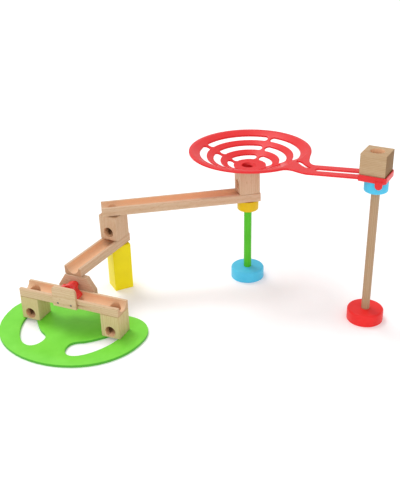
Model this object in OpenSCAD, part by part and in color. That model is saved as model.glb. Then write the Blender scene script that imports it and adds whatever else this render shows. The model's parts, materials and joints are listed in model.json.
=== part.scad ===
// Ball drop track: a free-standing marble run built from wooden blocks, grooved tracks,
// two posts and one moulded dish. The ball starts in the block on the tall post, circles
// down the slotted dish, crosses the long and the short track and is tipped left or right
// into one of the two openings of the base plate.
//
// Millimetres, +Z up. The origin is on the floor below the middle of the cross track,
// X runs along the cross track and Y away from the side where the balls come out.

/* [Ball passages] */
// Diameter of the upright bores in all blocks
bore_d = 26; // [22:0.5:27]
// Diameter of the exit holes in all blocks
exit_d = 22; // [18:0.5:23]
// Height of an exit hole's lowest point above its block's underside
exit_floor = 3; // [3:0.5:8]
// Height of an exit's lowest point in the turning block and the dish block
high_floor = 6; // [3:0.5:8]
// Radius of the half-round groove in all tracks
groove_r = 14; // [12:0.5:14.5]

/* [Tracks] */
// Width of all tracks
track_w = 40; // [36:1:48]
// Height of all tracks
track_h = 18; // [17:0.5:22]
// Length of the cross track over the two drop blocks
cross_len = 220; // [190:5:270]
// Length of the short track from the rear cheek to the turning block
short_len = 169; // [140:1:200]
// Fall of the short track in degrees
short_fall = 1.6; // [0.5:0.1:4]
// Direction of the short track, seen from above, in degrees from the cross track
short_yaw = 84; // [80:1:96]
// Place of the short track's low end along the cross track
short_x = -9; // [-14:1:14]
// Length of the long track
long_len = 325; // [270:5:390]
// Fall of the long track in degrees
long_fall = 1.2; // [0.5:0.1:4]
// Direction of the long track, seen from above, in degrees from the cross track
long_yaw = 32; // [20:1:45]

/* [Blocks] */
// Height of the two drop blocks
drop_h = 49; // [40:1:60]
// Width of the turning block and of the block below the dish
block_w = 42; // [40:1:46]
// Height of the turning block
turn_h = 53; // [42:1:64]
// Height of the block below the dish
dish_block_h = 53; // [42:1:64]
// Width of the start block
start_w = 48; // [42:1:50]
// Height of the start block
start_h = 46.5; // [36:0.5:56]
// Width of the yellow block
yellow_w = 40; // [34:1:46]
// Direction of the yellow block, seen from above, in degrees
yellow_yaw = 49.6; // [0:0.1:90]
// Bevel on the edges of all wooden pieces
bevel = 1; // [0.5:0.1:1.5]

/* [Base plate] */
// Thickness of the base plate
plate_t = 6; // [5:0.5:12]
// How far the plate reaches past each end of the cross track
plate_side = 41; // [32:1:56]
// How far the plate reaches in front of the cross track's middle
plate_front = 137; // [124:1:160]
// How far the plate reaches behind the cross track's middle
plate_back = 62; // [52:1:80]

/* [Flip unit] */
// Thickness of the front cheek
cheek_t = 6; // [5:0.5:8]
// Thickness of the rear cheek
rear_t = 12; // [8:0.5:16]
// Width of the front cheek
cheek_w = 52; // [48:1:60]
// Width of the rear cheek's lower part
rear_w = 80; // [70:1:96]
// Width of the rear cheek's top
rear_top_w = 48; // [44:1:60]
// Height of the front cheek above the cross track
front_rise = 25; // [20:1:28]
// Height of the rear cheek above the cross track
rear_rise = 27; // [25:1:36]
// Length of a flipper arm, pin to the middle of its round end
arm_len = 20.5; // [18:0.5:22]
// Radius of an arm's round end
arm_r = 5; // [4:0.1:5.5]
// Angle by which the arms droop from a straight line
arm_droop = 29; // [24:1:34]
// Tilt of the flipper to either side
flip_tilt = 16; // [12:1:18]
// Radius of the flipper's round hub
hub_r = 11; // [9:0.5:12]
// Height of the flipper's ridge above its pin
ridge_h = 13; // [12:0.5:15]
// Width of the flipper across the cross track
flip_w = 20; // [16:1:21]
// Diameter of the flipper's pin
pin_d = 4; // [3:0.1:5]
// Depth of the pin's seat in each cheek
pin_seat = 4; // [2.5:0.1:4]

/* [Nails] */
// Diameter of the nail heads
nail_head_d = 4; // [3:0.1:5]
// Diameter of the nail shanks
nail_d = 1.8; // [1.4:0.1:2.2]
// Length of the nails below the head
nail_len = 13; // [11:0.5:14]

/* [Posts] */
// Diameter of both rods
rod_d = 16; // [12:0.5:20]
// Diameter of both feet
foot_d = 70; // [56:1:84]
// Height of both feet
foot_h = 24; // [20:1:30]
// Depth of the rod's seat in a foot
foot_seat = 16; // [12:0.5:17]
// Diameter of both caps
cap_d = 44; // [36:1:48]
// Height of both caps
cap_h = 22; // [18:1:28]
// Depth of the rod's seat in a cap
cap_seat = 14; // [10:0.5:15]

/* [Dish] */
// Outer radius of the dish
dish_r = 123; // [112:1:130]
// Height of the dish's rim above its underside
rim_h = 37; // [30:1:44]
// Thickness of the dish's floor and rings
dish_t = 3.5; // [3:0.1:4.5]
// Thickness of the rim and the neck
rim_t = 4.5; // [4:0.1:5]
// Radius of the dish's flat middle
middle_r = 31; // [30:0.5:32]
// Width of the flat rim
lip_w = 8; // [6:0.5:10]
// Diameter of the dish's middle hole
hole_d = 27; // [24:0.5:28]
// Width of the bridges across the slots
bridge_w = 8; // [6:0.5:12]
// Direction of the neck, seen from above, in degrees from the cross track
dish_yaw = -5.4; // [-12:0.1:4]
// Distance from the dish's middle to the start block along the neck
start_dist = 273; // [262:1:310]
// Distance of the neck's middle line from the dish's middle
neck_off = 48; // [44:1:50]
// Width of the neck
neck_w = 46; // [42:1:48]
// Height of the tray's floor above the dish's underside
tray_rise = 46; // [42:1:56]
// Thickness of the tray's floor
tray_t = 5.5; // [5.2:0.1:7]
// Height of the tray's walls above its floor
wall_h = 7; // [5:0.5:10]
// Thickness of the tray's walls
wall_t = 2.5; // [2:0.1:5]

/* [Hidden] */
$fn = 64;
// Space left where one piece rests loosely on another
seat_gap = 0.1;
// Radial space of a fixed rod or pin in its seat
snug = 0.05;
// Radial space of the flipper on its pin
turning = 0.08;
// Space between the start block and each wall of the tray
tray_gap = 0.5;
// Height of an arm's end above the sides of the groove at the end of its tilt
arm_gap = 1.5;
// Place of the flip unit along the cross track, from its middle
flip_x = -3;
// Distance of a drop hole and of a block from the end of its track
end_inset = 22;
// Distance of the turning block's middle from the short track's upper end
turn_inset = 25;
// Distance of the green post's middle from the long track's right end
post_inset = 23;
// Place of the dish block along the long track, from the post's middle
dish_shift = -1;
// Turn of the dish block on the long track, in degrees
dish_turn = 5;
// Place of the dish's middle, from the dish block's middle
dish_off = [5.2, 2.6, 0];
// Distance of the yellow block's middle from the short track's upper end
yellow_inset = 17;
// Place of the tall post below the tray, from the start block's middle
tall_shift = [4, -4];

drop_x = cross_len / 2 - track_w / 2;
cross_z = plate_t + drop_h;
cross_top = cross_z + track_h;
groove_side = sqrt(groove_r * groove_r - flip_w * flip_w / 4);
pivot_z = cross_top - groove_side + arm_len * sin(flip_tilt + arm_droop) + arm_r + arm_gap;
rear_top = cross_top + rear_rise;

// Directions along a track and square to its bottom, for a yaw and a fall
function run_dir(yaw, fall) = [cos(yaw) * cos(fall), sin(yaw) * cos(fall), sin(fall)];
function up_dir(yaw, fall) = [-cos(yaw) * sin(fall), -sin(yaw) * sin(fall), cos(fall)];
function side_dir(yaw) = [-sin(yaw), cos(yaw), 0];

// Short track: its low end lies on the rear cheek, its upper end carries the turning block
short_y = track_w / 2 * (1 + abs(cos(short_yaw)));
short_at = [short_x, short_y, rear_top + seat_gap];
short_run = run_dir(short_yaw, short_fall);
short_up = up_dir(short_yaw, short_fall);
turn_s = short_len - turn_inset;
turn_top = short_at + turn_s * short_run + (track_h + turn_h) * short_up;

// Yellow block: as high as the short track's bottom above the block's first corner
yellow_s = (short_len - yellow_inset) * cos(short_fall);
yellow_at = [short_x + yellow_s * cos(short_yaw), short_y + yellow_s * sin(short_yaw)];
yellow_reach = yellow_w / 2 * (abs(cos(yellow_yaw - short_yaw)) + abs(sin(yellow_yaw - short_yaw)));
yellow_h = rear_top + (yellow_s - yellow_reach) * tan(short_fall);

// Long track: lies on the highest corner of the turning block
long_run = run_dir(long_yaw, long_fall);
long_up = up_dir(long_yaw, long_fall);
function long_rise(p) = tan(long_fall) * (p[0] * cos(long_yaw) + p[1] * sin(long_yaw));
turn_corners = [for (i = [-1, 1], j = [-1, 1])
    block_w / 2 * (i * short_run + j * side_dir(short_yaw))];
long_lift = max([for (c = turn_corners) c[2] - long_rise(c)]);
long_at = turn_top + [0, 0, long_lift + seat_gap];

// Green post: as high as the long track's bottom above the cap's left edge
post_s = long_len - end_inset - post_inset;
green_at = long_at + post_s * long_run;
yellow_cap_top = green_at[2] - cap_d / 2 * tan(long_fall) - seat_gap;

// Dish: level, on the highest edge of the dish block
dish_top = long_at + (post_s + dish_shift) * long_run + (track_h + dish_block_h) * long_up;
dish_lift = block_w / 2 * (cos(dish_turn) + sin(dish_turn)) * sin(long_fall);
dish_at = dish_top + dish_off + [0, 0, dish_lift + seat_gap];
// Place of the dish's hole, part of the way from the dish's middle to the block's bore
hole_part = 0.45;
hole_at = [-hole_part * (dish_off[0] * cos(dish_yaw) + dish_off[1] * sin(dish_yaw)),
           hole_part * (dish_off[0] * sin(dish_yaw) - dish_off[1] * cos(dish_yaw)), -1];

// Tall post: holds the tray level
start_at = [start_dist, -neck_off, tray_rise];
tall_in_dish = [start_dist + tall_shift[0], -neck_off + tall_shift[1]];
tall_at = [dish_at[0] + tall_in_dish[0] * cos(dish_yaw) - tall_in_dish[1] * sin(dish_yaw),
           dish_at[1] + tall_in_dish[0] * sin(dish_yaw) + tall_in_dish[1] * cos(dish_yaw)];
blue_cap_top = dish_at[2] + tray_rise - tray_t - seat_gap;

// Dish sections: inner and outer radius of each ring of slots, as shares of the dish's radius
slot_rings = [[0.268, 0.365], [0.485, 0.595], [0.71, 0.817]];
neck_left = dish_r + 27;
tray_x = start_dist - start_w / 2 - tray_gap;
tray_half = start_w / 2 + tray_gap + wall_t;
tab_w = 14;
tab_drop = 10;
tab_t = 4;
tab_x = start_dist + 15;
// How much wider than its slot a slot's round end is, on each side
end_swell = 0.3;

wood = [0.80, 0.64, 0.47];
pale_wood = [0.83, 0.68, 0.52];
lime = [0.60, 0.82, 0.20];
coral = [0.93, 0.27, 0.27];
red = [0.86, 0.10, 0.12];
sky = [0.36, 0.72, 0.90];
gold = [0.96, 0.76, 0.16];
steel = [0.62, 0.62, 0.62];

// Points of a cubic curve, without its last point
function curve(p, n = 14) = [for (i = [0:n - 1]) let (t = i / n, u = 1 - t)
    u * u * u * p[0] + 3 * u * u * t * p[1] + 3 * u * t * t * p[2] + t * t * t * p[3]];
function mirrored(p) = [for (i = [len(p) - 1:-1:0]) [-p[i][0], p[i][1]]];

// Rectangle around the origin with its corners cut at 45 degrees
module cut_corners(w, h, c) {
    polygon([[-w / 2 + c, -h / 2], [w / 2 - c, -h / 2], [w / 2, -h / 2 + c], [w / 2, h / 2 - c],
             [w / 2 - c, h / 2], [-w / 2 + c, h / 2], [-w / 2, h / 2 - c], [-w / 2, -h / 2 + c]]);
}

// Box on the floor around the origin, all edges bevelled
module bevelled_box(w, d, h, c) {
    intersection() {
        linear_extrude(h) cut_corners(w, d, c);
        translate([0, d / 2 + 1, h / 2]) rotate([90, 0, 0]) linear_extrude(d + 2) cut_corners(w, h, c);
        translate([-w / 2 - 1, 0, h / 2]) rotate([90, 0, 90]) linear_extrude(w + 2) cut_corners(d, h, c);
    }
}

// Block with an upright bore and an exit hole on its -X face
module bored_block(w, h, mouth = 0, floor_h = exit_floor) {
    difference() {
        bevelled_box(w, w, h, bevel);
        translate([0, 0, floor_h + 1]) cylinder(d = bore_d, h = h);
        translate([bore_d / 4, 0, floor_h + exit_d / 2]) rotate([0, -90, 0]) cylinder(d = exit_d, h = w);
        if (mouth > 0)
            translate([0, 0, h - mouth]) cylinder(d1 = bore_d, d2 = bore_d + 4 * mouth, h = 2 * mouth);
    }
}

// Track along +X from the origin, half-round groove from end to end
module grooved_track(length) {
    difference() {
        translate([length / 2, 0, 0]) bevelled_box(length, track_w, track_h, bevel);
        translate([-1, 0, track_h]) rotate([0, 90, 0]) cylinder(r = groove_r, h = length + 2);
    }
}

// Moves its children into the frame of the short track, the long track or the dish
module on_short() {
    translate(short_at) rotate([0, -short_fall, short_yaw]) children();
}

module on_long() {
    translate(long_at) rotate([0, -long_fall, long_yaw]) children();
}

module on_dish() {
    translate(dish_at) rotate(dish_yaw) children();
}

// Opening of the base plate in front of the right drop block, it starts below the block
module catch_opening() {
    x = drop_x;
    y = -track_w / 2;
    polygon(concat(
        curve([[x + 14, y], [x + 8, y - 33], [x - 20, y - 78], [x - 44, y - 78]]),
        curve([[x - 44, y - 78], [x - 56, y - 78], [x - 63, y - 66], [x - 63, y - 52]], 8),
        curve([[x - 63, y - 52], [x - 63, y - 41], [x - 56, y - 35], [x - 45, y - 30]], 8),
        curve([[x - 45, y - 30], [x - 33, y - 23], [x - 22, y - 10], [x - 13, y]], 10),
        [[x - 13, y], [x - 6, y + 10], [x + 15, y + 10]]));
}

// One half of the plate's edge, from the front middle to the back middle
function plate_edge(w, f, b) = concat(
    curve([[0, -f], [0.55 * w, -f], [w, -0.6 * f], [w, 0]]),
    curve([[w, 0], [w, 0.57 * b], [0.84 * w, b], [0.61 * w, b]]),
    curve([[0.61 * w, b], [0.39 * w, b], [0.26 * w, 0.84 * b], [0, 0.84 * b]]));

module base_plate() {
    edge = plate_edge(cross_len / 2 + plate_side, plate_front, plate_back);
    back = [0, 0.84 * plate_back];
    color(lime) linear_extrude(plate_t) difference() {
        polygon(concat(edge, [back], mirrored([for (i = [1:len(edge) - 1]) edge[i]])));
        catch_opening();
        mirror([1, 0]) catch_opening();
    }
}

module drop_block() {
    translate([0, 0, plate_t]) rotate(90) bored_block(track_w, drop_h);
}

module left_drop_block() {
    color(pale_wood) translate([-drop_x, 0, 0]) drop_block();
}

module right_drop_block() {
    color(pale_wood) translate([drop_x, 0, 0]) drop_block();
}

// Places of the two nails along the front cheek
nail_places = [-cheek_w * 0.28, cheek_w * 0.28];
nail_z = cross_z + track_h * 0.44;

module at_nails() {
    for (x = nail_places)
        translate([flip_x + x, -track_w / 2 - cheek_t, nail_z]) rotate([-90, 0, 0]) children();
}

module nail_holes() {
    at_nails() translate([0, 0, -1]) cylinder(d = nail_d + 2 * snug, h = nail_len + 1 + seat_gap);
}

module cross_track() {
    color(wood) difference() {
        translate([-cross_len / 2, 0, cross_z]) grooved_track(cross_len);
        for (s = [-1, 1])
            translate([s * drop_x, 0, cross_z - 1]) cylinder(d = bore_d, h = track_h);
        nail_holes();
    }
}

module pin_hole(radius, length) {
    translate([flip_x, length / 2, pivot_z]) rotate([90, 0, 0]) cylinder(r = radius, h = length);
}

pin_len = track_w + 2 * pin_seat;

module front_cheek() {
    h = track_h + front_rise;
    r = 8;
    color(wood) difference() {
        translate([flip_x, -track_w / 2, cross_z]) rotate([90, 0, 0]) linear_extrude(cheek_t) {
            translate([-cheek_w / 2, 0]) square([cheek_w, h - r]);
            translate([-cheek_w / 2 + r, 0]) square([cheek_w - 2 * r, h]);
            for (s = [-1, 1])
                translate([s * (cheek_w / 2 - r), h - r]) circle(r);
        }
        pin_hole(pin_d / 2 + snug, pin_len);
        nail_holes();
    }
}

module rear_cheek() {
    h = track_h + rear_rise;
    low = track_h + 2;
    color(wood) difference() {
        translate([flip_x, track_w / 2 + rear_t, cross_z]) rotate([90, 0, 0]) linear_extrude(rear_t)
            polygon([[-rear_w / 2, 0], [rear_w / 2, 0], [rear_w / 2, low], [rear_top_w / 2, h],
                     [-rear_top_w / 2, h], [-rear_w / 2, low]]);
        pin_hole(pin_d / 2 + snug, pin_len);
    }
}

module nail() {
    cylinder(d = nail_d, h = nail_len - 2);
    translate([0, 0, nail_len - 2]) cylinder(d1 = nail_d, d2 = 0.4, h = 2);
    translate([0, 0, -1]) cylinder(d1 = nail_head_d - 1, d2 = nail_head_d, h = 0.5);
    translate([0, 0, -0.5]) cylinder(d = nail_head_d, h = 0.5);
}

module cheek_nails() {
    color(steel) at_nails() nail();
}

// Right half of the flipper's side view, upright, from the ridge down to the middle of its
// underside: a low ridge, a round hub, a drooping arm with a round end, an arched underside
function flipper_half() =
    let (u = [cos(arm_droop), -sin(arm_droop)], n = [sin(arm_droop), cos(arm_droop)], k = 0.55 * arm_r,
         top = arm_len * u + arm_r * n, tip = (arm_len + arm_r) * u, low = arm_len * u - arm_r * n,
         hollow = arm_len * 0.7 * u + arm_r * n, under = low - 8 * u)
    concat(
        curve([[0, ridge_h], [2, ridge_h], [3, hub_r * 0.98], hub_r * [cos(62), sin(62)]], 5),
        [for (a = [62:-9.5:14]) hub_r * [cos(a), sin(a)]],
        curve([hub_r * [cos(5), sin(5)], [hub_r + 0.3, -0.5], hollow - 2.2 * u, hollow], 5),
        [hollow],
        curve([top, top + k * u, tip + k * n, tip], 6),
        curve([tip, tip - k * n, low + k * u, low], 6),
        [low],
        curve([under, under - 4 * u, [3, -7], [0, -7]], 8),
        [[0, -7]]);

module flipper_shape() {
    half = flipper_half();
    polygon(concat(half, mirrored([for (i = [1:len(half) - 2]) half[i]])));
}

module flipper() {
    boss = track_w - 1;
    color(red) translate([flip_x, 0, pivot_z]) rotate([0, flip_tilt, 0]) rotate([90, 0, 0]) difference() {
        union() {
            translate([0, 0, -flip_w / 2]) linear_extrude(flip_w) flipper_shape();
            translate([0, 0, -boss / 2]) cylinder(r = 6, h = boss);
        }
        translate([0, 0, -track_w]) cylinder(r = pin_d / 2 + turning, h = 2 * track_w);
    }
}

module flipper_pin() {
    color(steel) pin_hole(pin_d / 2, pin_len - 2 * seat_gap);
}

module short_track() {
    color(wood) on_short() grooved_track(short_len);
}

module yellow_block() {
    color(gold) translate(yellow_at) rotate(yellow_yaw) bevelled_box(yellow_w, yellow_w, yellow_h, bevel);
}

module turn_block() {
    color(pale_wood) on_short() translate([turn_s, 0, track_h]) bored_block(block_w, turn_h, 0, high_floor);
}

module long_track() {
    color(wood) on_long() difference() {
        translate([-end_inset, 0, 0]) grooved_track(long_len);
        translate([0, 0, -1]) cylinder(d = bore_d, h = track_h);
    }
}

module dish_block() {
    color(pale_wood) on_long() translate([post_s + dish_shift, 0, track_h])
        rotate(dish_turn) bored_block(block_w, dish_block_h, 0, high_floor);
}

// Round foot with a rounded upper edge and a seat for the rod
module foot() {
    r = 4;
    difference() {
        rotate_extrude() {
            square([foot_d / 2, foot_h - r]);
            square([foot_d / 2 - r, foot_h]);
            translate([foot_d / 2 - r, foot_h - r]) circle(r);
        }
        translate([0, 0, foot_h - foot_seat]) cylinder(d = rod_d + 2 * snug, h = foot_h);
    }
}

// Round cap with a rounded lower edge and a seat for the rod, top face at the origin
module cap() {
    r = 3;
    difference() {
        rotate_extrude() {
            translate([0, r - cap_h]) square([cap_d / 2, cap_h - r]);
            translate([0, -cap_h]) square([cap_d / 2 - r, cap_h]);
            translate([cap_d / 2 - r, r - cap_h]) circle(r);
        }
        translate([0, 0, -2 * cap_h]) cylinder(d = rod_d + 2 * snug, h = cap_h + cap_seat);
    }
}

// Rod between a foot on the floor and a cap with its top at the given height
module rod(cap_top) {
    bottom = foot_h - foot_seat + seat_gap;
    top = cap_top - cap_h + cap_seat - seat_gap;
    translate([0, 0, bottom]) cylinder(d = rod_d, h = top - bottom);
}

module blue_foot() {
    color(sky) translate([green_at[0], green_at[1], 0]) foot();
}

module green_rod() {
    color(lime) translate([green_at[0], green_at[1], 0]) rod(yellow_cap_top);
}

module yellow_cap() {
    color(gold) translate([green_at[0], green_at[1], yellow_cap_top]) cap();
}

module red_foot() {
    color(red) translate(tall_at) foot();
}

module wood_rod() {
    color(pale_wood) translate(tall_at) rod(blue_cap_top);
}

module blue_cap() {
    color(sky) translate([tall_at[0], tall_at[1], blue_cap_top]) cap();
}

// Slot in the dish: a quarter ring between two bridges, with round ends
module ring_slot(r_in, r_out, from, to) {
    middle = (r_in + r_out) / 2;
    half = (r_out - r_in) / 2;
    ease = (half + bridge_w / 2) / middle * 180 / PI;
    rotate(from + ease) rotate_extrude(angle = to - from - 2 * ease)
        translate([r_in, -1]) square([r_out - r_in, rim_h + 2]);
    for (a = [from + ease, to - ease])
        rotate(a) translate([middle, 0, -1]) cylinder(r = half + end_swell, h = rim_h + 2);
}

// Section of the dish: flat middle, cone and flat rim
module dish_section() {
    lip = dish_r - lip_w;
    polygon([[0, 0], [middle_r, 0], [lip, rim_h - rim_t], [dish_r, rim_h - rim_t], [dish_r, rim_h],
             [lip, rim_h], [middle_r, dish_t], [0, dish_t]]);
}

// Flat root of the neck, seen from above: it sweeps out of the rim on both sides
module neck_root() {
    top = -neck_off + neck_w / 2;
    low = -neck_off - neck_w / 2;
    a = (dish_r - 1) * [cos(20), sin(20)];
    b = (dish_r - 1) * [cos(38), -sin(38)];
    polygon(concat(
        curve([a, a + 36 * [sin(20), -cos(20)], [neck_left - 19, top], [neck_left, top]]),
        [[neck_left, top]],
        curve([[neck_left, low], [neck_left - 26, low], b + 26 * [sin(38), cos(38)], b]),
        [b, b * 0.97, [dish_r * 0.9, 0], a * 0.97]));
}

// Curved opening where the neck's two rails part from the rim
module root_slot() {
    x = neck_left - 7;
    y = -neck_off;
    polygon(concat(
        curve([[dish_r - 17, y + 29], [dish_r - 4, y + 37], [x - 15, y + 14], [x, y + 10]]),
        curve([[x, y + 10], [x + 4, y + 9], [x + 4, y + 5], [x, y + 4]], 8),
        curve([[x, y + 4], [x - 9, y + 2], [dish_r - 3, y + 18], [dish_r - 17, y + 29]])));
}

module tray_outline(reach) {
    r = 6;
    right = start_dist + reach;
    translate([tray_x, -neck_off - reach + r]) square([right - tray_x, 2 * (reach - r)]);
    translate([tray_x, -neck_off - reach]) square([right - r - tray_x, 2 * reach]);
    for (s = [-1, 1])
        translate([right - r, -neck_off + s * (reach - r)]) circle(r);
}

module tray() {
    inner = start_w / 2 + tray_gap;
    difference() {
        translate([0, 0, tray_rise - tray_t]) linear_extrude(tray_t + wall_h) tray_outline(tray_half);
        translate([start_dist - 2 * inner, -neck_off - inner, tray_rise])
            cube([3 * inner, 2 * inner, 2 * wall_h]);
    }
    translate([tab_x, -neck_off - tray_half + 0.5, tray_rise - tray_t]) rotate([90, 0, 0]) linear_extrude(tab_t) {
        translate([0, tab_w / 2 - tab_drop]) circle(d = tab_w);
        translate([-tab_w / 2, tab_w / 2 - tab_drop]) square([tab_w, tab_drop - tab_w / 2 + tray_t]);
    }
}

// Slotted dish of the moulding, up to where its neck starts to rise
module spiral_dish() {
    color(coral) on_dish() difference() {
        union() {
            rotate_extrude() dish_section();
            translate([0, 0, rim_h - rim_t]) linear_extrude(rim_t) neck_root();
        }
        translate(hole_at) cylinder(d = hole_d, h = rim_h);
        for (ring = slot_rings, q = [0:3])
            if (ring[0] < 0.6 || q < 3)
                ring_slot(ring[0] * dish_r, ring[1] * dish_r, 90 * q, 90 * q + 90);
        ring_slot(slot_rings[2][0] * dish_r, slot_rings[2][1] * dish_r, 270, 330);
        translate([0, 0, -1]) linear_extrude(rim_h + 2) root_slot();
    }
}

// Rising neck and tray of the same moulding
module start_tray() {
    slot_w = 13;
    slot_from = neck_left + 9 + slot_w / 2;
    slot_to = tray_x - 3 - slot_w / 2;
    color(coral) on_dish() difference() {
        union() {
            translate([0, -neck_off + neck_w / 2, 0]) rotate([90, 0, 0]) linear_extrude(neck_w)
                polygon([[neck_left, rim_h - rim_t], [neck_left, rim_h],
                         [tray_x + 1, tray_rise], [tray_x + 1, tray_rise - rim_t]]);
            tray();
        }
        translate([slot_from, -neck_off - slot_w / 2, 0]) cube([slot_to - slot_from, slot_w, tray_rise + 1]);
        for (x = [slot_from, slot_to])
            translate([x, -neck_off, 0]) cylinder(d = slot_w + 2 * end_swell, h = tray_rise + 1);
    }
}

module start_block() {
    color(pale_wood) on_dish() translate(start_at) bored_block(start_w, start_h, 1);
}

base_plate();
left_drop_block();
right_drop_block();
cross_track();
front_cheek();
rear_cheek();
cheek_nails();
flipper();
flipper_pin();
short_track();
yellow_block();
turn_block();
long_track();
blue_foot();
green_rod();
yellow_cap();
dish_block();
spiral_dish();
start_tray();
start_block();
red_foot();
wood_rod();
blue_cap();
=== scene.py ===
# %% [markdown]
# # Ball drop track
# A free-standing ball track: a green board with two catch openings, wooden blocks and
# grooved tracks, two posts and one moulded red dish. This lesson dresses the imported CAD
# model. The CAD gives the shapes and their places; here each piece gets softened edges, a
# real material, light and a camera. Only a thin collar in the dish's hole is new.

# %% Load the frame
import json
from math import cos, radians, sin

import bmesh
import bpy
from mathutils import Matrix, Vector


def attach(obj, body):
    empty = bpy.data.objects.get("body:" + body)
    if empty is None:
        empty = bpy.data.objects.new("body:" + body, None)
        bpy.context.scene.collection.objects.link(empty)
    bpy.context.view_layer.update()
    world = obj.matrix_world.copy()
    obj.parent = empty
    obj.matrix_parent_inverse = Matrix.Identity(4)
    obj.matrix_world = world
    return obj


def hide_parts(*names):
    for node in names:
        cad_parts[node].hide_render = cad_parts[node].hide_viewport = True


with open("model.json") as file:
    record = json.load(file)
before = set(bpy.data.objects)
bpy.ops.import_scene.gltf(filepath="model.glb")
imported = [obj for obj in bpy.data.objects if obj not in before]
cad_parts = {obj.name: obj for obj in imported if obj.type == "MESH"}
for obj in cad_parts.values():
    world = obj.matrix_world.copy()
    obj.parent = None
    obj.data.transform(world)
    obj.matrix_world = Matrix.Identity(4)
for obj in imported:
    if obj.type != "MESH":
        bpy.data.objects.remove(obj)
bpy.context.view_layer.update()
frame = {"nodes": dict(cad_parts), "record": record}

MM = 0.001
ALONG = (1, 0, 0)
UP = (0, 0, 1)
bodies = frame["record"]["behaviour"]["bodies"]
body_of = {node: body for body, nodes in bodies.items() for node in nodes}


def in_scene(name, data):
    """A new object at the origin, shown in the scene."""
    made = bpy.data.objects.new(name, data)
    bpy.context.scene.collection.objects.link(made)
    return made


# %% [markdown]
# ## The camera
# The photograph was taken from a standing child's height, turned to the right of the
# board and looking down. Position, pitch, a slight roll and the focal length were solved
# from the straight edges of the tracks, so the render lines up with the picture.

# %% Camera
CAMERA_AT = (0.7502, -1.0667, 0.8294)
LEVEL_RIGHT = Vector((0.9123, 0.4095, 0))
LEVEL_FORWARD = Vector((-0.4095, 0.9123, 0))
PITCH = radians(27.5)
ROLL = radians(1.44)
FOCAL_MM = 69.43
SENSOR_MM = 36
FARTHEST_M = 50

view_dir = LEVEL_FORWARD * cos(PITCH) - Vector((0, 0, sin(PITCH)))
view_down = -LEVEL_FORWARD * sin(PITCH) - Vector((0, 0, cos(PITCH)))
right = LEVEL_RIGHT * cos(ROLL) + view_down * sin(ROLL)
down = view_down * cos(ROLL) - LEVEL_RIGHT * sin(ROLL)
axes = Matrix((right, -down, -view_dir)).transposed()

lens = bpy.data.cameras.new("photo_camera")
lens.sensor_fit = "HORIZONTAL"
lens.sensor_width = SENSOR_MM
lens.lens = FOCAL_MM
lens.clip_end = FARTHEST_M
camera = in_scene("photo_camera", lens)
camera.matrix_world = Matrix.Translation(CAMERA_AT) @ axes.to_4x4()
bpy.context.scene.camera = camera
print("camera looks along", [round(v, 3) for v in view_dir])

# %% [markdown]
# ## Colours and nodes
# Paint and wood colours are written as the sRGB hex values one reads off a picture.
# Blender's sockets take linear values, so one function converts them. A second one adds a
# node, sets its properties and links or sets its inputs. Every material below is built
# with it.

# %% Helpers for materials
def linear(hex_code):
    """sRGB hex code to linear red, green, blue and alpha."""
    parts = [int(hex_code[i:i + 2], 16) / 255 for i in (1, 3, 5)]
    return [v / 12.92 if v <= 0.04045 else ((v + 0.055) / 1.055) ** 2.4 for v in parts] + [1]


def add_node(tree, kind, inputs=None, **settings):
    """One node: settings are its properties, inputs are values or sockets to link from."""
    made = tree.nodes.new(kind)
    for key, value in settings.items():
        setattr(made, key, value)
    for key, value in (inputs or {}).items():
        if isinstance(value, bpy.types.NodeSocket):
            tree.links.new(value, made.inputs[key])
        else:
            made.inputs[key].default_value = value
    return made


def new_material(name):
    """A material with an empty tree; returns both."""
    made = bpy.data.materials.new(name)
    made.use_nodes = True
    made.node_tree.nodes.clear()
    return made, made.node_tree


def finish_material(made, **inputs):
    """Ends a material with one shader; input names are written with _ for a space."""
    named = {key.replace("_", " "): value for key, value in inputs.items()}
    shader = add_node(made.node_tree, "ShaderNodeBsdfPrincipled", named)
    out = add_node(made.node_tree, "ShaderNodeOutputMaterial", {"Surface": shader.outputs[0]})
    out.is_active_output = True
    return made


print("linear white:", linear("#FFFFFF"))

# %% [markdown]
# Materials are patterns that are stretched, weighed against each other and turned into
# colour, so these steps get a function each. All of them hand on a node's output. Patterns
# start from the object's own coordinates in millimetres, turned so that X runs along the
# grain.

# %% Helpers for patterns
def pattern_space(tree, along=ALONG, shift_mm=(0, 0, 0)):
    """Object coordinates in mm with X turned along a direction, then shifted."""
    x_axis = Vector(along).normalized()
    y_axis = Vector(UP).cross(x_axis)
    y_axis = y_axis.normalized() if y_axis.length > 0.5 else Vector((0, 1, 0))
    turn = Matrix((x_axis, y_axis, x_axis.cross(y_axis))).to_euler()
    place = add_node(tree, "ShaderNodeTexCoord")
    in_mm = add_node(tree, "ShaderNodeMapping", {
        "Vector": place.outputs["Object"], "Rotation": turn, "Location": shift_mm,
        "Scale": [1 / MM] * 3})
    return in_mm.outputs[0]


def noise(tree, space, size_mm, detail, roughness=0.5):
    """Noise with spots of a size in mm along X, Y and Z of the pattern."""
    fitted = add_node(tree, "ShaderNodeMapping", {
        "Vector": space, "Scale": [1 / size for size in size_mm]})
    made = add_node(tree, "ShaderNodeTexNoise", {
        "Vector": fitted.outputs[0], "Scale": 1.0, "Detail": detail, "Roughness": roughness})
    return made.outputs[0]


def spread(tree, value, start=0.0, end=1.0, low=0.0, high=1.0):
    """A value's range from start to end, spread to low to high."""
    made = add_node(tree, "ShaderNodeMapRange", {
        "Value": value, "From Min": start, "From Max": end, "To Min": low, "To Max": high})
    return made.outputs[0]


def weighed(tree, *parts):
    """The sum of some values, each with its own weight."""
    total = 0.0
    for value, weight in parts:
        step = add_node(tree, "ShaderNodeMath", {0: value, 1: weight, 2: total},
                        operation="MULTIPLY_ADD")
        total = step.outputs[0]
    return total


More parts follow.
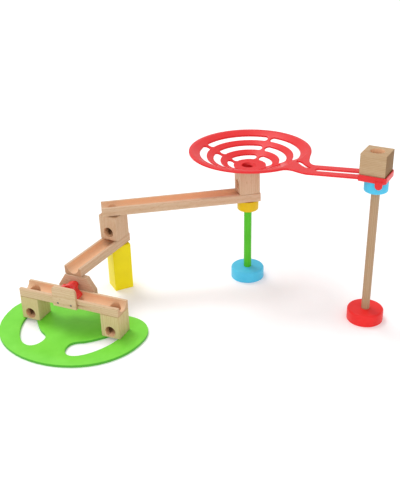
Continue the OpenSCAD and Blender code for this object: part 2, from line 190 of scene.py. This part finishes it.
def blend(tree, share, first, second):
    """Two colours mixed; 0, 6 and 7 are the sockets for the share and the two colours."""
    made = add_node(tree, "ShaderNodeMix", {0: share, 6: first, 7: second}, data_type="RGBA")
    return made.outputs[2]


def facing(tree, direction):
    """How squarely a face looks along a direction, either way: 0 to 1."""
    face = add_node(tree, "ShaderNodeNewGeometry")
    turned = add_node(tree, "ShaderNodeVectorMath",
                      {0: face.outputs["Normal"], 1: direction}, operation="DOT_PRODUCT")
    made = add_node(tree, "ShaderNodeMath", {0: turned.outputs["Value"]}, operation="ABSOLUTE")
    return made.outputs[0]


def relief(tree, height, strength, depth_mm):
    """A bump of some real depth."""
    made = add_node(tree, "ShaderNodeBump", {
        "Height": height, "Strength": strength, "Distance": depth_mm * MM})
    return made.outputs[0]


print("pattern helpers:", [f.__name__ for f in (pattern_space, noise, spread, weighed, blend)])

# %% [markdown]
# ## Floor and light
# The object stands in an even white studio, on a paper sheet that is lit from below a
# little, which keeps its shadows faint. A broad sun stands for a large soft box: it comes
# from the left and a little from behind, because the cross track's shadow falls on the
# front of the board and the right block's shadow falls to the right. A white sky fills the
# shadows, and a second, very wide light from the camera's side brightens the upright faces
# as a reflector does.

# %% Floor
HALF_M = 9
PAPER_DROP_MM = 0.1
PAPER_GLOW = 0.12
corners = [(-HALF_M, -HALF_M), (HALF_M, -HALF_M), (HALF_M, HALF_M), (-HALF_M, HALF_M)]
floor_mesh = bpy.data.meshes.new("studio_floor")
floor_mesh.from_pydata([(x, y, -PAPER_DROP_MM * MM) for x, y in corners], [], [(0, 1, 2, 3)])
paper, _ = new_material("matt_white_paper")
floor_mesh.materials.append(finish_material(
    paper, Base_Color=linear("#FAFAFA"), Roughness=0.95, Specular_IOR_Level=0.1,
    Emission_Color=linear("#FFFFFF"), Emission_Strength=PAPER_GLOW))
floor = in_scene("studio_floor", floor_mesh)
print("floor:", 2 * HALF_M, "m wide")

# %% Light
# Each sun has the direction it travels in, its strength and its width in degrees.
SKY_STRENGTH = 0.64
SUNS = {
    "soft_box": (Vector((0.46, -0.20, -1)), 1.35, 24),
    "reflector": (Vector((-0.10, 1, -0.35)), 0.75, 100),
}
sky = bpy.data.worlds.new("white_studio")
sky.use_nodes = True
sky.node_tree.nodes["Background"].inputs["Color"].default_value = linear("#FFFFFF")
sky.node_tree.nodes["Background"].inputs["Strength"].default_value = SKY_STRENGTH
bpy.context.scene.world = sky
for name, (travel, energy, width) in SUNS.items():
    sun = bpy.data.lights.new(name, "SUN")
    sun.energy = energy
    sun.angle = radians(width)
    in_scene(name, sun).rotation_euler = travel.to_track_quat("-Z", "Y").to_euler()
    print(name, "travels along", [round(v, 2) for v in travel.normalized()])
bpy.context.scene.view_settings.view_transform = "Standard"

# %% [markdown]
# ## Beech
# The blocks, tracks, cheeks and the tall rod are sanded beech with a thin coat of oil.
# Beech is pinkish tan, with straight pale and dark streaks, soft growth rings that show
# as arcs on the ends, and the short brown flecks that give it away. All of them are solid
# patterns in the wood, so a face shows whatever the saw cut through. Flecks and fibres are
# drawn a little coarser than real ones, which a picture of this size would lose.
#
# No two bars have the same tone, so each piece picks one: streak colours and the darker
# colour of the end grain; on the start block that darker colour is a painted shade on its
# right side. The picture also shows grooves that glow warm, because light goes back and
# forth between their walls, and bores that are brown inside with shade. Both are painted
# into the colour, as a painted warm bounce light in the grooves and a painted shade in the
# bores, set by how much open air a spot sees.

# %% Sizes and tones of beech
RING_MM = 3.2
STREAK_MM = (120.0, 5.0, 5.0)
FIBRE_MM = (40.0, 1.3, 1.3)
FLECK_MM = (7.0, 1.1, 1.1)
WAVE_TURN = 0.31416  # length of one ring of a wave texture with scale 1
OPEN_AIR_MM = 60
# Painted light colours: a warm bounce light for grooves and a dark shade for bores.
FLECK_BROWN = linear("#B0825C")
PAINTED_GROOVE_BOUNCE = linear("#F2C096")
PAINTED_BORE_SHADE = linear("#8A6C4C")
TONES = {
    "pale": ("#DFC2A1", "#D2AF8A", "#C9A27C"),
    "rosy": ("#D7B89A", "#CBA685", "#BC9470"),
    "tan": ("#D8C696", "#CDB682", "#B89C62"),
    "brown": ("#BC9E80", "#AF8E6B", "#98733F"),
    # The last tone's very dark end colour is a painted shade for the start block's right side.
    "painted_shade_ends": ("#C6AA87", "#B99771", "#7E5620"),
}
print("tones of beech:", list(TONES))


# %% Beech
def beech(name, along, heart_mm, tone):
    """Sanded beech whose grain runs along a direction, with the tree's heart beside it."""
    pale, dark, end_grain_and_shade_tone = (linear(code) for code in TONES[tone])
    made, tree = new_material(name)
    space = pattern_space(tree, along, heart_mm)
    rings = add_node(tree, "ShaderNodeTexWave", {
        "Vector": space, "Scale": WAVE_TURN / RING_MM, "Distortion": 3.0, "Detail": 2.0,
        "Detail Scale": 0.6}, wave_type="RINGS", rings_direction="X")
    streaks = noise(tree, space, STREAK_MM, 3.0, 0.6)
    fibres = noise(tree, space, FIBRE_MM, 2.0)
    flecks = noise(tree, space, FLECK_MM, 1.0)

    # Streaks, rings and fibres give the figure, flecks lie on it, ends are darker: end grain
    # on most pieces, and a painted shade on the start block's right side.
    figure = weighed(tree, (streaks, 0.7), (rings.outputs["Fac"], 0.3), (fibres, 0.35))
    colour = blend(tree, spread(tree, figure, 0.42, 0.92), pale, dark)
    colour = blend(tree, spread(tree, flecks, 0.62, 0.74, high=0.5), colour, FLECK_BROWN)
    end_grain_and_shade_mask = facing(tree, Vector(along).normalized())
    colour = blend(tree, spread(tree, end_grain_and_shade_mask, 0.6, 1.0, high=0.85), colour, end_grain_and_shade_tone)

    # Grooves see less open air than flat faces and get a painted warm bounce light; bores see
    # hardly any and get a painted shade.
    painted_light_occlusion = add_node(tree, "ShaderNodeAmbientOcclusion", {"Distance": OPEN_AIR_MM * MM},
                   samples=8, only_local=True).outputs["AO"]
    colour = blend(tree, spread(tree, painted_light_occlusion, 0.95, 0.6), colour, PAINTED_GROOVE_BOUNCE)
    colour = blend(tree, spread(tree, painted_light_occlusion, 0.36, 0.16, high=0.95), colour, PAINTED_BORE_SHADE)

    return finish_material(
        made, Base_Color=colour, Roughness=spread(tree, fibres, low=0.48, high=0.66),
        Normal=relief(tree, fibres, 0.35, 0.08), IOR=1.5, Specular_IOR_Level=0.2)


print("one ring of beech every", RING_MM, "mm")

# %% [markdown]
# ## Satin paint on wood
# The board, the yellow block, the green rod, feet and caps are painted. Toy paint is
# sprayed: the surface is even and satin, with a faint orange-peel texture, a little
# unevenness in tone and the grain of the wood still telegraphing through as shallow
# lines. The board's upright sawn edge gets a painted shade, a deeper green for the light
# that reaches it only from the side. Peel and grain are drawn coarser than real ones,
# which a picture of this size would lose.

# %% Satin paint
PEEL_MM = (1.6, 1.6, 1.6)
CLOUD_MM = (32.0, 32.0, 32.0)
RAISED_GRAIN_MM = (45.0, 1.8, 1.8)


def satin_paint(name, colour, shade, along=UP, painted_side_shade=None):
    """Sprayed toy paint: its colour, a slightly deeper shade, and the grain below it."""
    made, tree = new_material(name)
    space = pattern_space(tree, along)
    clouds = noise(tree, space, CLOUD_MM, 3.0)
    peel = noise(tree, space, PEEL_MM, 1.0)
    raised = noise(tree, space, RAISED_GRAIN_MM, 2.0)
    mixed = blend(tree, spread(tree, clouds, 0.3, 0.75), linear(colour), linear(shade))
    # Faces that turn away from the top get a painted shade in a deeper colour.
    if painted_side_shade:
        side_shade_mask = spread(tree, facing(tree, UP), 0.85, 0.35)
        mixed = blend(tree, side_shade_mask, mixed, linear(painted_side_shade))
    height = weighed(tree, (peel, 1.0), (raised, 0.6))
    return finish_material(
        made, Base_Color=mixed, Roughness=spread(tree, peel, low=0.36, high=0.50),
        Normal=relief(tree, height, 0.25, 0.06), IOR=1.48, Specular_IOR_Level=0.3)


lime = satin_paint("lime_satin_paint", "#7FE044", "#74D738", along=ALONG, painted_side_shade="#4FAE2C")
leaf = satin_paint("leaf_green_satin_paint", "#58CA28", "#4FBF22")
lemon = satin_paint("lemon_satin_paint", "#FBE704", "#F3DE02")
gold = satin_paint("golden_satin_paint", "#E8C504", "#DEB702")
sky_blue = satin_paint("sky_blue_satin_paint", "#55CBF0", "#4CC1E8")
scarlet = satin_paint("scarlet_satin_paint", "#F82C2A", "#EE2423")
print("paints:", [m.name for m in (lime, leaf, lemon, gold, sky_blue, scarlet)])

# %% [markdown]
# ## Moulded plastic
# The dish with its neck and tray is injection-moulded in coral red, with a soft sheen and
# slightly translucent, so thin edges glow a little. The tipping piece is a deeper red,
# glossier and nearly opaque. Moulded plastic is even; what the eye sees is gloss, a faint
# waviness and a fine variation in roughness where it was handled.

# %% Moulded plastic
WAVY_MM = (26.0, 26.0, 26.0)
HANDLED_MM = (9.0, 9.0, 9.0)
LIGHT_DEPTH_MM = (4, 1, 1)


def moulded_plastic(name, colour, shade, roughness, glow, shine):
    """Moulded plastic: glow is the light that enters the surface, shine its mirror share."""
    made, tree = new_material(name)
    space = pattern_space(tree)
    flow = noise(tree, space, WAVY_MM, 2.0)
    touched = noise(tree, space, HANDLED_MM, 4.0)
    return finish_material(
        made, Base_Color=blend(tree, flow, linear(colour), linear(shade)),
        Roughness=spread(tree, touched, low=roughness * 0.8, high=roughness * 1.3),
        Normal=relief(tree, flow, 0.2, 0.3), IOR=1.5, Specular_IOR_Level=shine,
        Subsurface_Weight=glow, Subsurface_Radius=[depth * MM for depth in LIGHT_DEPTH_MM],
        Subsurface_Scale=1.0)


coral = moulded_plastic("coral_moulded_plastic", "#E93032", "#E1282C", 0.30, 0.10, 0.28)
red = moulded_plastic("red_moulded_plastic", "#EE3430", "#E02826", 0.12, 0.05, 0.9)
print("plastics:", coral.name, red.name)

# %% [markdown]
# ## Nail steel
# The nails of the front cheek and the tipper's pin are steel wire, drawn and cut, a little
# dull. A stretched noise gives the lines of drawn wire in tone and roughness, coarser than
# real ones so that they show.

# %% Nail steel
WIRE_LINE_MM = (0.4, 10 / 3, 0.4)
steel, tree = new_material("bright_nail_steel")
lines = noise(tree, pattern_space(tree), WIRE_LINE_MM, 2.0)
finish_material(
    steel, Base_Color=blend(tree, lines, linear("#8A8C8E"), linear("#5E6062")), Metallic=1.0,
    Roughness=spread(tree, lines, low=0.28, high=0.5))
print("metal:", steel.name)

# %% [markdown]
# ## Softened copies of the CAD pieces
# A CAD mesh is loose triangles with knife-sharp edges. Real wood is sanded and real
# mouldings have a small radius, and that thin rounded edge catches the light. So each
# node is copied, its doubles are merged, its flat faces are joined, and its sharp edges
# are rounded with a bevel of real width. Edges too short for the rounding stay as they
# are, and faces that lose all their width are dissolved. Curved walls are shaded smooth.

# %% Functions for softened shapes
WELD = 0.003 * MM
NO_WIDTH = 0.001 * MM
FLAT = radians(0.4)
SHARP = radians(25)


def merged_shape(node):
    """The triangles of a CAD node as one closed shape with joined flat faces."""
    shape = bmesh.new()
    shape.from_mesh(frame["nodes"][node].data)
    bmesh.ops.remove_doubles(shape, verts=shape.verts, dist=WELD)
    bmesh.ops.dissolve_limit(shape, angle_limit=FLAT, verts=shape.verts, edges=shape.edges)
    return shape


def round_edges(shape, width_mm, segments, shortest_mm):
    """Rounds the sharp edges that are long enough to take it; returns their number."""
    sharp = [edge for edge in shape.edges if len(edge.link_faces) == 2
             and edge.calc_face_angle(0) > SHARP and edge.calc_length() > shortest_mm * MM]
    bmesh.ops.bevel(shape, geom=sharp, offset=width_mm * MM, offset_type="OFFSET",
                    segments=segments, profile=0.5, affect="EDGES", clamp_overlap=False,
                    loop_slide=False)
    bmesh.ops.dissolve_degenerate(shape, dist=NO_WIDTH, edges=shape.edges)
    return len(sharp)


def mesh_from(shape, name):
    """A smooth mesh with creases at its sharp edges; the shape is used up."""
    mesh = bpy.data.meshes.new(name)
    shape.to_mesh(mesh)
    shape.free()
    mesh.shade_smooth()
    mesh.set_sharp_from_angle(angle=SHARP)
    return mesh


print("edges sharper than", round(SHARP, 2), "rad are rounded")

# %% Functions for pieces
def finished_piece(name, mesh, material, node):
    """A piece of one material, on the body of a CAD node."""
    mesh.name = name
    mesh.materials.clear()
    mesh.materials.append(material)
    piece = in_scene(name, mesh)
    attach(piece, body_of[node])
    return piece


def softened(node, material, width_mm, segments=2, shortest_mm=0.6):
    """The finished piece for one CAD node, with its sharp edges rounded."""
    shape = merged_shape(node)
    rounded = round_edges(shape, width_mm, segments, shortest_mm)
    name = node + "_finished"
    piece = finished_piece(name, mesh_from(shape, name), material, node)
    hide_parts(node)
    print(piece.name, "edges rounded:", rounded, "faces:", len(piece.data.polygons))


print("bodies:", sorted(set(body_of.values())))

# %% [markdown]
# ## The board
# The green board is cut from a thick panel and its edges are run over with a router, on
# top, below and round both openings, so it gets the widest rounding of all.

# %% Board
ROUTER_MM = 1.6
softened("base_plate", lime, ROUTER_MM, segments=4)

# %% [markdown]
# ## Blocks, tracks and cheeks
# Every wooden piece has its own cut of beech: the same material with the grain turned
# along the piece and the tree's heart at another place, so no two pieces show the same
# figure. Blocks are cut from upright bars and tracks from long ones. Edges are given as
# the width of the rounding and the shortest edge that takes it, both in millimetres.

# %% Wooden pieces
def run_of(yaw, rise):
    """Direction along a piece that is turned and tilted by these degrees."""
    a, r = radians(yaw), radians(rise)
    return Vector((cos(a) * cos(r), sin(a) * cos(r), sin(r)))


SHORT_RUN = run_of(84, 1.6)
LONG_RUN = run_of(32, 1.2)
BLOCK_EDGE = (0.6, 1.6)
FINE_EDGE = (0.25, 1.0)
CHEEK_EDGE = (0.8, 0.6)
wooden = {  # grain, the heart's place in mm, tone, edges
    "left_drop_block": (UP, (7, 31, 18), "tan", BLOCK_EDGE),
    "right_drop_block": (UP, (55, -24, 36), "tan", BLOCK_EDGE),
    "cross_track": (ALONG, (0, 40, -95), "pale", FINE_EDGE),
    "front_cheek": (ALONG, (30, 45, -70), "pale", CHEEK_EDGE),
    "rear_cheek": (ALONG, (-60, -50, -62), "rosy", CHEEK_EDGE),
    "short_track": (SHORT_RUN, (0, 34, -125), "rosy", FINE_EDGE),
    "turn_block": (UP, (11, -190, 22), "rosy", BLOCK_EDGE),
    "long_track": (LONG_RUN, (0, -160, -170), "rosy", FINE_EDGE),
    "dish_block": (UP, (-40, -330, 270), "rosy", BLOCK_EDGE),
    # With its grain along X, the start block's right side takes the painted shade of its tone.
    "start_block": (ALONG, (20, -262, 535), "painted_shade_ends", BLOCK_EDGE),
    "wood_rod": (UP, (0, -228, 540), "brown", FINE_EDGE),
}
for node, (grain, heart, tone, (width, shortest)) in wooden.items():
    wood = beech("sanded_beech_" + node, grain, heart, tone)
    softened(node, wood, width, shortest_mm=shortest)

# %% [markdown]
# ## Painted pieces
# Feet, caps and rods are turned on a lathe, the yellow block is sawn. The CAD already
# has the round edges of the feet and caps; a narrow rounding takes the last hard lines.

# %% Painted pieces
HARD_EDGE_MM = 0.4
ROUND_EDGE_MM = 0.3
painted = {
    "yellow_block": (lemon, HARD_EDGE_MM), "blue_foot": (sky_blue, ROUND_EDGE_MM),
    "green_rod": (leaf, HARD_EDGE_MM), "yellow_cap": (gold, ROUND_EDGE_MM),
    "red_foot": (scarlet, ROUND_EDGE_MM), "blue_cap": (sky_blue, ROUND_EDGE_MM),
}
for node, (paint, width) in painted.items():
    softened(node, paint, width)

# %% [markdown]
# ## The dish and its tray
# Dish, neck and tray come out of one mould. The CAD keeps them as two solids that touch
# where the neck starts to rise. Here the neck's end is pushed a little into the dish, and
# a voxel remesh joins both into one closed skin without a seam. The voxels are laid along
# the neck, so its rails come out straight. Rounds of smoothing then give every slot and
# edge the soft radius of a moulding, and the fine skin is lightened.

# %% Both solids, pushed together
NECK_YAW = -5.4
NECK_RUN = run_of(NECK_YAW, 0)
OVERLAP_MM = 1.5
END_FACE_MM = 0.01
along_neck = Matrix.Rotation(radians(-NECK_YAW), 3, "Z")
back_in_place = Matrix.Rotation(radians(NECK_YAW), 3, "Z")

shape = bmesh.new()
shape.from_mesh(frame["nodes"]["start_tray"].data)
neck_end = min(v.co.dot(NECK_RUN) for v in shape.verts)
for vert in shape.verts:
    if vert.co.dot(NECK_RUN) < neck_end + END_FACE_MM * MM:
        vert.co -= NECK_RUN * OVERLAP_MM * MM
shape.from_mesh(frame["nodes"]["spiral_dish"].data)
bmesh.ops.remove_doubles(shape, verts=shape.verts, dist=WELD)
bmesh.ops.rotate(shape, verts=shape.verts, matrix=along_neck)
two_solids = bpy.data.meshes.new("two_solids")
shape.to_mesh(two_solids)
shape.free()
print("dish and tray:", len(two_solids.polygons), "triangles")

# %% One skin
VOXEL_MM = 0.5
SMOOTH_ROUNDS = 24
KEPT_SHARE = 0.13


def after_modifier(mesh, kind, **settings):
    """A mesh after one modifier, as a plain mesh; the helper object is removed again."""
    helper = in_scene(mesh.name, mesh)
    step = helper.modifiers.new("step", kind)
    for key, value in settings.items():
        setattr(step, key, value)
    ready = helper.evaluated_get(bpy.context.evaluated_depsgraph_get())
    result = bpy.data.meshes.new_from_object(ready)
    bpy.data.objects.remove(helper)
    bpy.data.meshes.remove(mesh)
    return result


joined = after_modifier(two_solids, "REMESH", mode="VOXEL", voxel_size=VOXEL_MM * MM)
shape = bmesh.new()
shape.from_mesh(joined)
for _ in range(SMOOTH_ROUNDS):
    bmesh.ops.smooth_vert(shape, verts=shape.verts, factor=0.5, use_axis_x=True,
                          use_axis_y=True, use_axis_z=True)
bmesh.ops.rotate(shape, verts=shape.verts, matrix=back_in_place)
shape.to_mesh(joined)
shape.free()
print("one skin:", len(joined.polygons), "faces")

# %% Moulding
skin = after_modifier(joined, "DECIMATE", ratio=KEPT_SHARE)
skin.shade_smooth()
moulding = finished_piece("dish_moulding", skin, coral, "spiral_dish")
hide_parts("spiral_dish", "start_tray")
print("moulding: lightened to", len(skin.polygons), "faces")

# %% [markdown]
# ## The collar in the dish's hole
# Looking into the middle of the dish, the photograph shows deep red and no wood: the
# moulding turns down into the block below it. The CAD ends at the dish's underside, so a
# thin collar is made here from rings. It starts as the hole's own edge, narrows like a
# funnel to the block's bore and hangs a little way into it. Ball and block both clear it.

# %% Collar
HOLE = Vector((243.99, 311.73, 0))
BORE = Vector((241.54, 310.56, 0))
HALFWAY = BORE.lerp(HOLE, 0.5)
DISH_FLOOR_MM = 253.259
RING_POINTS = 48
INNER_MM = 11.3
collar_rings = [  # middle, radius, height over the dish's floor: down inside, up outside
    (HOLE, 13.2, 2.4), (HALFWAY, 12.0, 0.8), (BORE, INNER_MM, -0.6), (BORE, INNER_MM, -12.0),
    (BORE, 12.3, -12.0), (BORE, 12.3, -0.4), (HOLE, 13.45, 1.0), (HOLE, 13.45, 2.4),
]
turns = [radians(360 * k / RING_POINTS) for k in range(RING_POINTS)]
shape = bmesh.new()
loops = []
for middle, radius, height in collar_rings:
    spots = [Vector((radius * cos(t), radius * sin(t), DISH_FLOOR_MM + height)) for t in turns]
    loops.append([shape.verts.new((middle + spot) * MM) for spot in spots])
for ring, following in zip(loops, loops[1:] + loops[:1]):
    for k in range(RING_POINTS):
        n = (k + 1) % RING_POINTS
        shape.faces.new((ring[k], ring[n], following[n], following[k]))
bmesh.ops.recalc_face_normals(shape, faces=shape.faces)
collar_mesh = mesh_from(shape, "dish_collar")
finished_piece("dish_collar", collar_mesh, coral, "spiral_dish")
print("collar:", len(collar_mesh.polygons), "faces, inner width", 2 * INNER_MM, "mm")

# %% [markdown]
# ## The tipping piece and its pin
# The tipper is a small solid moulding that rocks on a steel pin between the cheeks.

# %% Tipping piece
TIPPER_MM = 0.6
PIN_MM = 0.2
softened("flipper", red, TIPPER_MM, segments=3)
softened("flipper_pin", steel, PIN_MM)

# %% [markdown]
# ## Nails
# Two round-headed nails hold the front cheek. A nail is a turned shape, so its outline,
# from the dome down to the point, is swept once round a tiny circle in a Geometry Nodes
# tree. The tree turns that nail to the way it is driven and sets it on every point it is
# given. The result is made real geometry, because an exported model keeps no instances.

# %% Outline of a nail
nails = bpy.data.node_groups.new("nails_on_points", "GeometryNodeTree")
nails.interface.new_socket("Points", in_out="INPUT", socket_type="NodeSocketGeometry")
for label in ("Head radius", "Dome height", "Shank radius", "Shank length", "Point length"):
    nails.interface.new_socket(label, in_out="INPUT", socket_type="NodeSocketFloat")
nails.interface.new_socket("Steel", in_out="INPUT", socket_type="NodeSocketMaterial")
nails.interface.new_socket("Nails", in_out="OUTPUT", socket_type="NodeSocketGeometry")
given = add_node(nails, "NodeGroupInput")
head_r, dome_h = given.outputs["Head radius"], given.outputs["Dome height"]
shank_r, shank_len = given.outputs["Shank radius"], given.outputs["Shank length"]

quarter = add_node(nails, "GeometryNodeCurveArc", {
    "Resolution": 8, "Radius": 1.0, "Start Angle": 0.0, "Sweep Angle": radians(90)})
dome_size = add_node(nails, "ShaderNodeCombineXYZ", {0: head_r, 1: dome_h, 2: 1.0})
dome = add_node(nails, "GeometryNodeTransform", {
    "Geometry": quarter.outputs[0], "Scale": dome_size.outputs[0]})
point_start = add_node(nails, "ShaderNodeMath", {
    0: given.outputs["Point length"], 1: shank_len}, operation="SUBTRACT")
tip_down = add_node(nails, "ShaderNodeMath", {0: shank_len, 1: -1.0}, operation="MULTIPLY")
head_edge = add_node(nails, "ShaderNodeCombineXYZ", {0: head_r})
neck = add_node(nails, "ShaderNodeCombineXYZ", {0: shank_r})
shoulder = add_node(nails, "ShaderNodeCombineXYZ", {0: shank_r, 1: point_start.outputs[0]})
tip = add_node(nails, "ShaderNodeCombineXYZ", {1: tip_down.outputs[0]})
outline = add_node(nails, "GeometryNodeJoinGeometry", {0: dome.outputs[0]})
for low_end, high_end in ((neck, head_edge), (shoulder, neck), (tip, shoulder)):
    line = add_node(nails, "GeometryNodeCurvePrimitiveLine", {
        "Start": low_end.outputs[0], "End": high_end.outputs[0]})
    nails.links.new(line.outputs[0], outline.inputs[0])
print("outline of a nail from", len(outline.inputs[0].links), "curves")

# %% One nail, set on points
ROUND_STEPS = 24
AXIS_MM = 0.002
CLOSED_MM = 0.01
round_path = add_node(nails, "GeometryNodeCurvePrimitiveCircle", {
    "Resolution": ROUND_STEPS, "Radius": AXIS_MM * MM})
turned = add_node(nails, "GeometryNodeCurveToMesh", {
    "Curve": round_path.outputs[0], "Profile Curve": outline.outputs[0]})
one_nail = add_node(nails, "GeometryNodeMergeByDistance", {
    "Geometry": turned.outputs[0], "Distance": CLOSED_MM * MM})
driven = add_node(nails, "GeometryNodeTransform", {
    "Geometry": one_nail.outputs[0], "Rotation": (radians(-90), 0, 0)})
placed = add_node(nails, "GeometryNodeInstanceOnPoints", {
    "Points": given.outputs["Points"], "Instance": driven.outputs[0]})
real = add_node(nails, "GeometryNodeRealizeInstances", {"Geometry": placed.outputs[0]})
coated = add_node(nails, "GeometryNodeSetMaterial", {
    "Geometry": real.outputs[0], "Material": given.outputs["Steel"]})
add_node(nails, "NodeGroupOutput", {"Nails": coated.outputs[0]})
print("nail tree:", len(nails.nodes), "nodes")

# %% Where the CAD has its nails
# The CAD's nails are separate islands of one mesh. Each vertex takes over the number of
# its neighbours until the numbers stop changing, so every island ends with one number.
cad_nails = bmesh.new()
cad_nails.from_mesh(frame["nodes"]["cheek_nails"].data)
bmesh.ops.remove_doubles(cad_nails, verts=cad_nails.verts, dist=WELD)
cad_nails.verts.index_update()
island = list(range(len(cad_nails.verts)))
changed = True
while changed:
    changed = False
    for edge in cad_nails.edges:
        a, b = (v.index for v in edge.verts)
        if island[a] != island[b]:
            island[a] = island[b] = min(island[a], island[b])
            changed = True
HEAD_MM = 1.0
nail_points = []
for number in sorted(set(island)):
    at = [v.co for v in cad_nails.verts if island[v.index] == number]
    low, high = ([pick(c[i] for c in at) for i in range(3)] for pick in (min, max))
    nail_points.append(
        ((low[0] + high[0]) / 2, low[1] + HEAD_MM * MM, (low[2] + high[2]) / 2))
    nail_span = high[1] - low[1]
cad_nails.free()
print("nails at", [[round(c / MM, 1) for c in p] for p in nail_points])

# %% Nails as one piece
nail_sizes = {
    "Head radius": 2.0 * MM, "Dome height": 0.95 * HEAD_MM * MM, "Shank radius": 0.9 * MM,
    "Shank length": nail_span - HEAD_MM * MM, "Point length": 2.0 * MM, "Steel": steel,
}
nail_spots = bpy.data.meshes.new("nail_spots")
nail_spots.from_pydata(nail_points, [], [])
spot_object = in_scene("nail_spots", nail_spots)
modifier = spot_object.modifiers.new("nails", "NODES")
modifier.node_group = nails
for socket in nails.interface.items_tree:
    if socket.in_out == "INPUT" and socket.name in nail_sizes:
        modifier[socket.identifier] = nail_sizes[socket.name]
ready = spot_object.evaluated_get(bpy.context.evaluated_depsgraph_get())
nail_mesh = bpy.data.meshes.new_from_object(ready)
bpy.data.objects.remove(spot_object)
bpy.data.meshes.remove(nail_spots)
nail_mesh.shade_smooth()
nail_mesh.set_sharp_from_angle(angle=SHARP)
nail_piece = finished_piece("cheek_nails_finished", nail_mesh, steel, "cheek_nails")
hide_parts("cheek_nails")
print("nails:", len(nail_points), "with", len(nail_mesh.polygons), "faces")
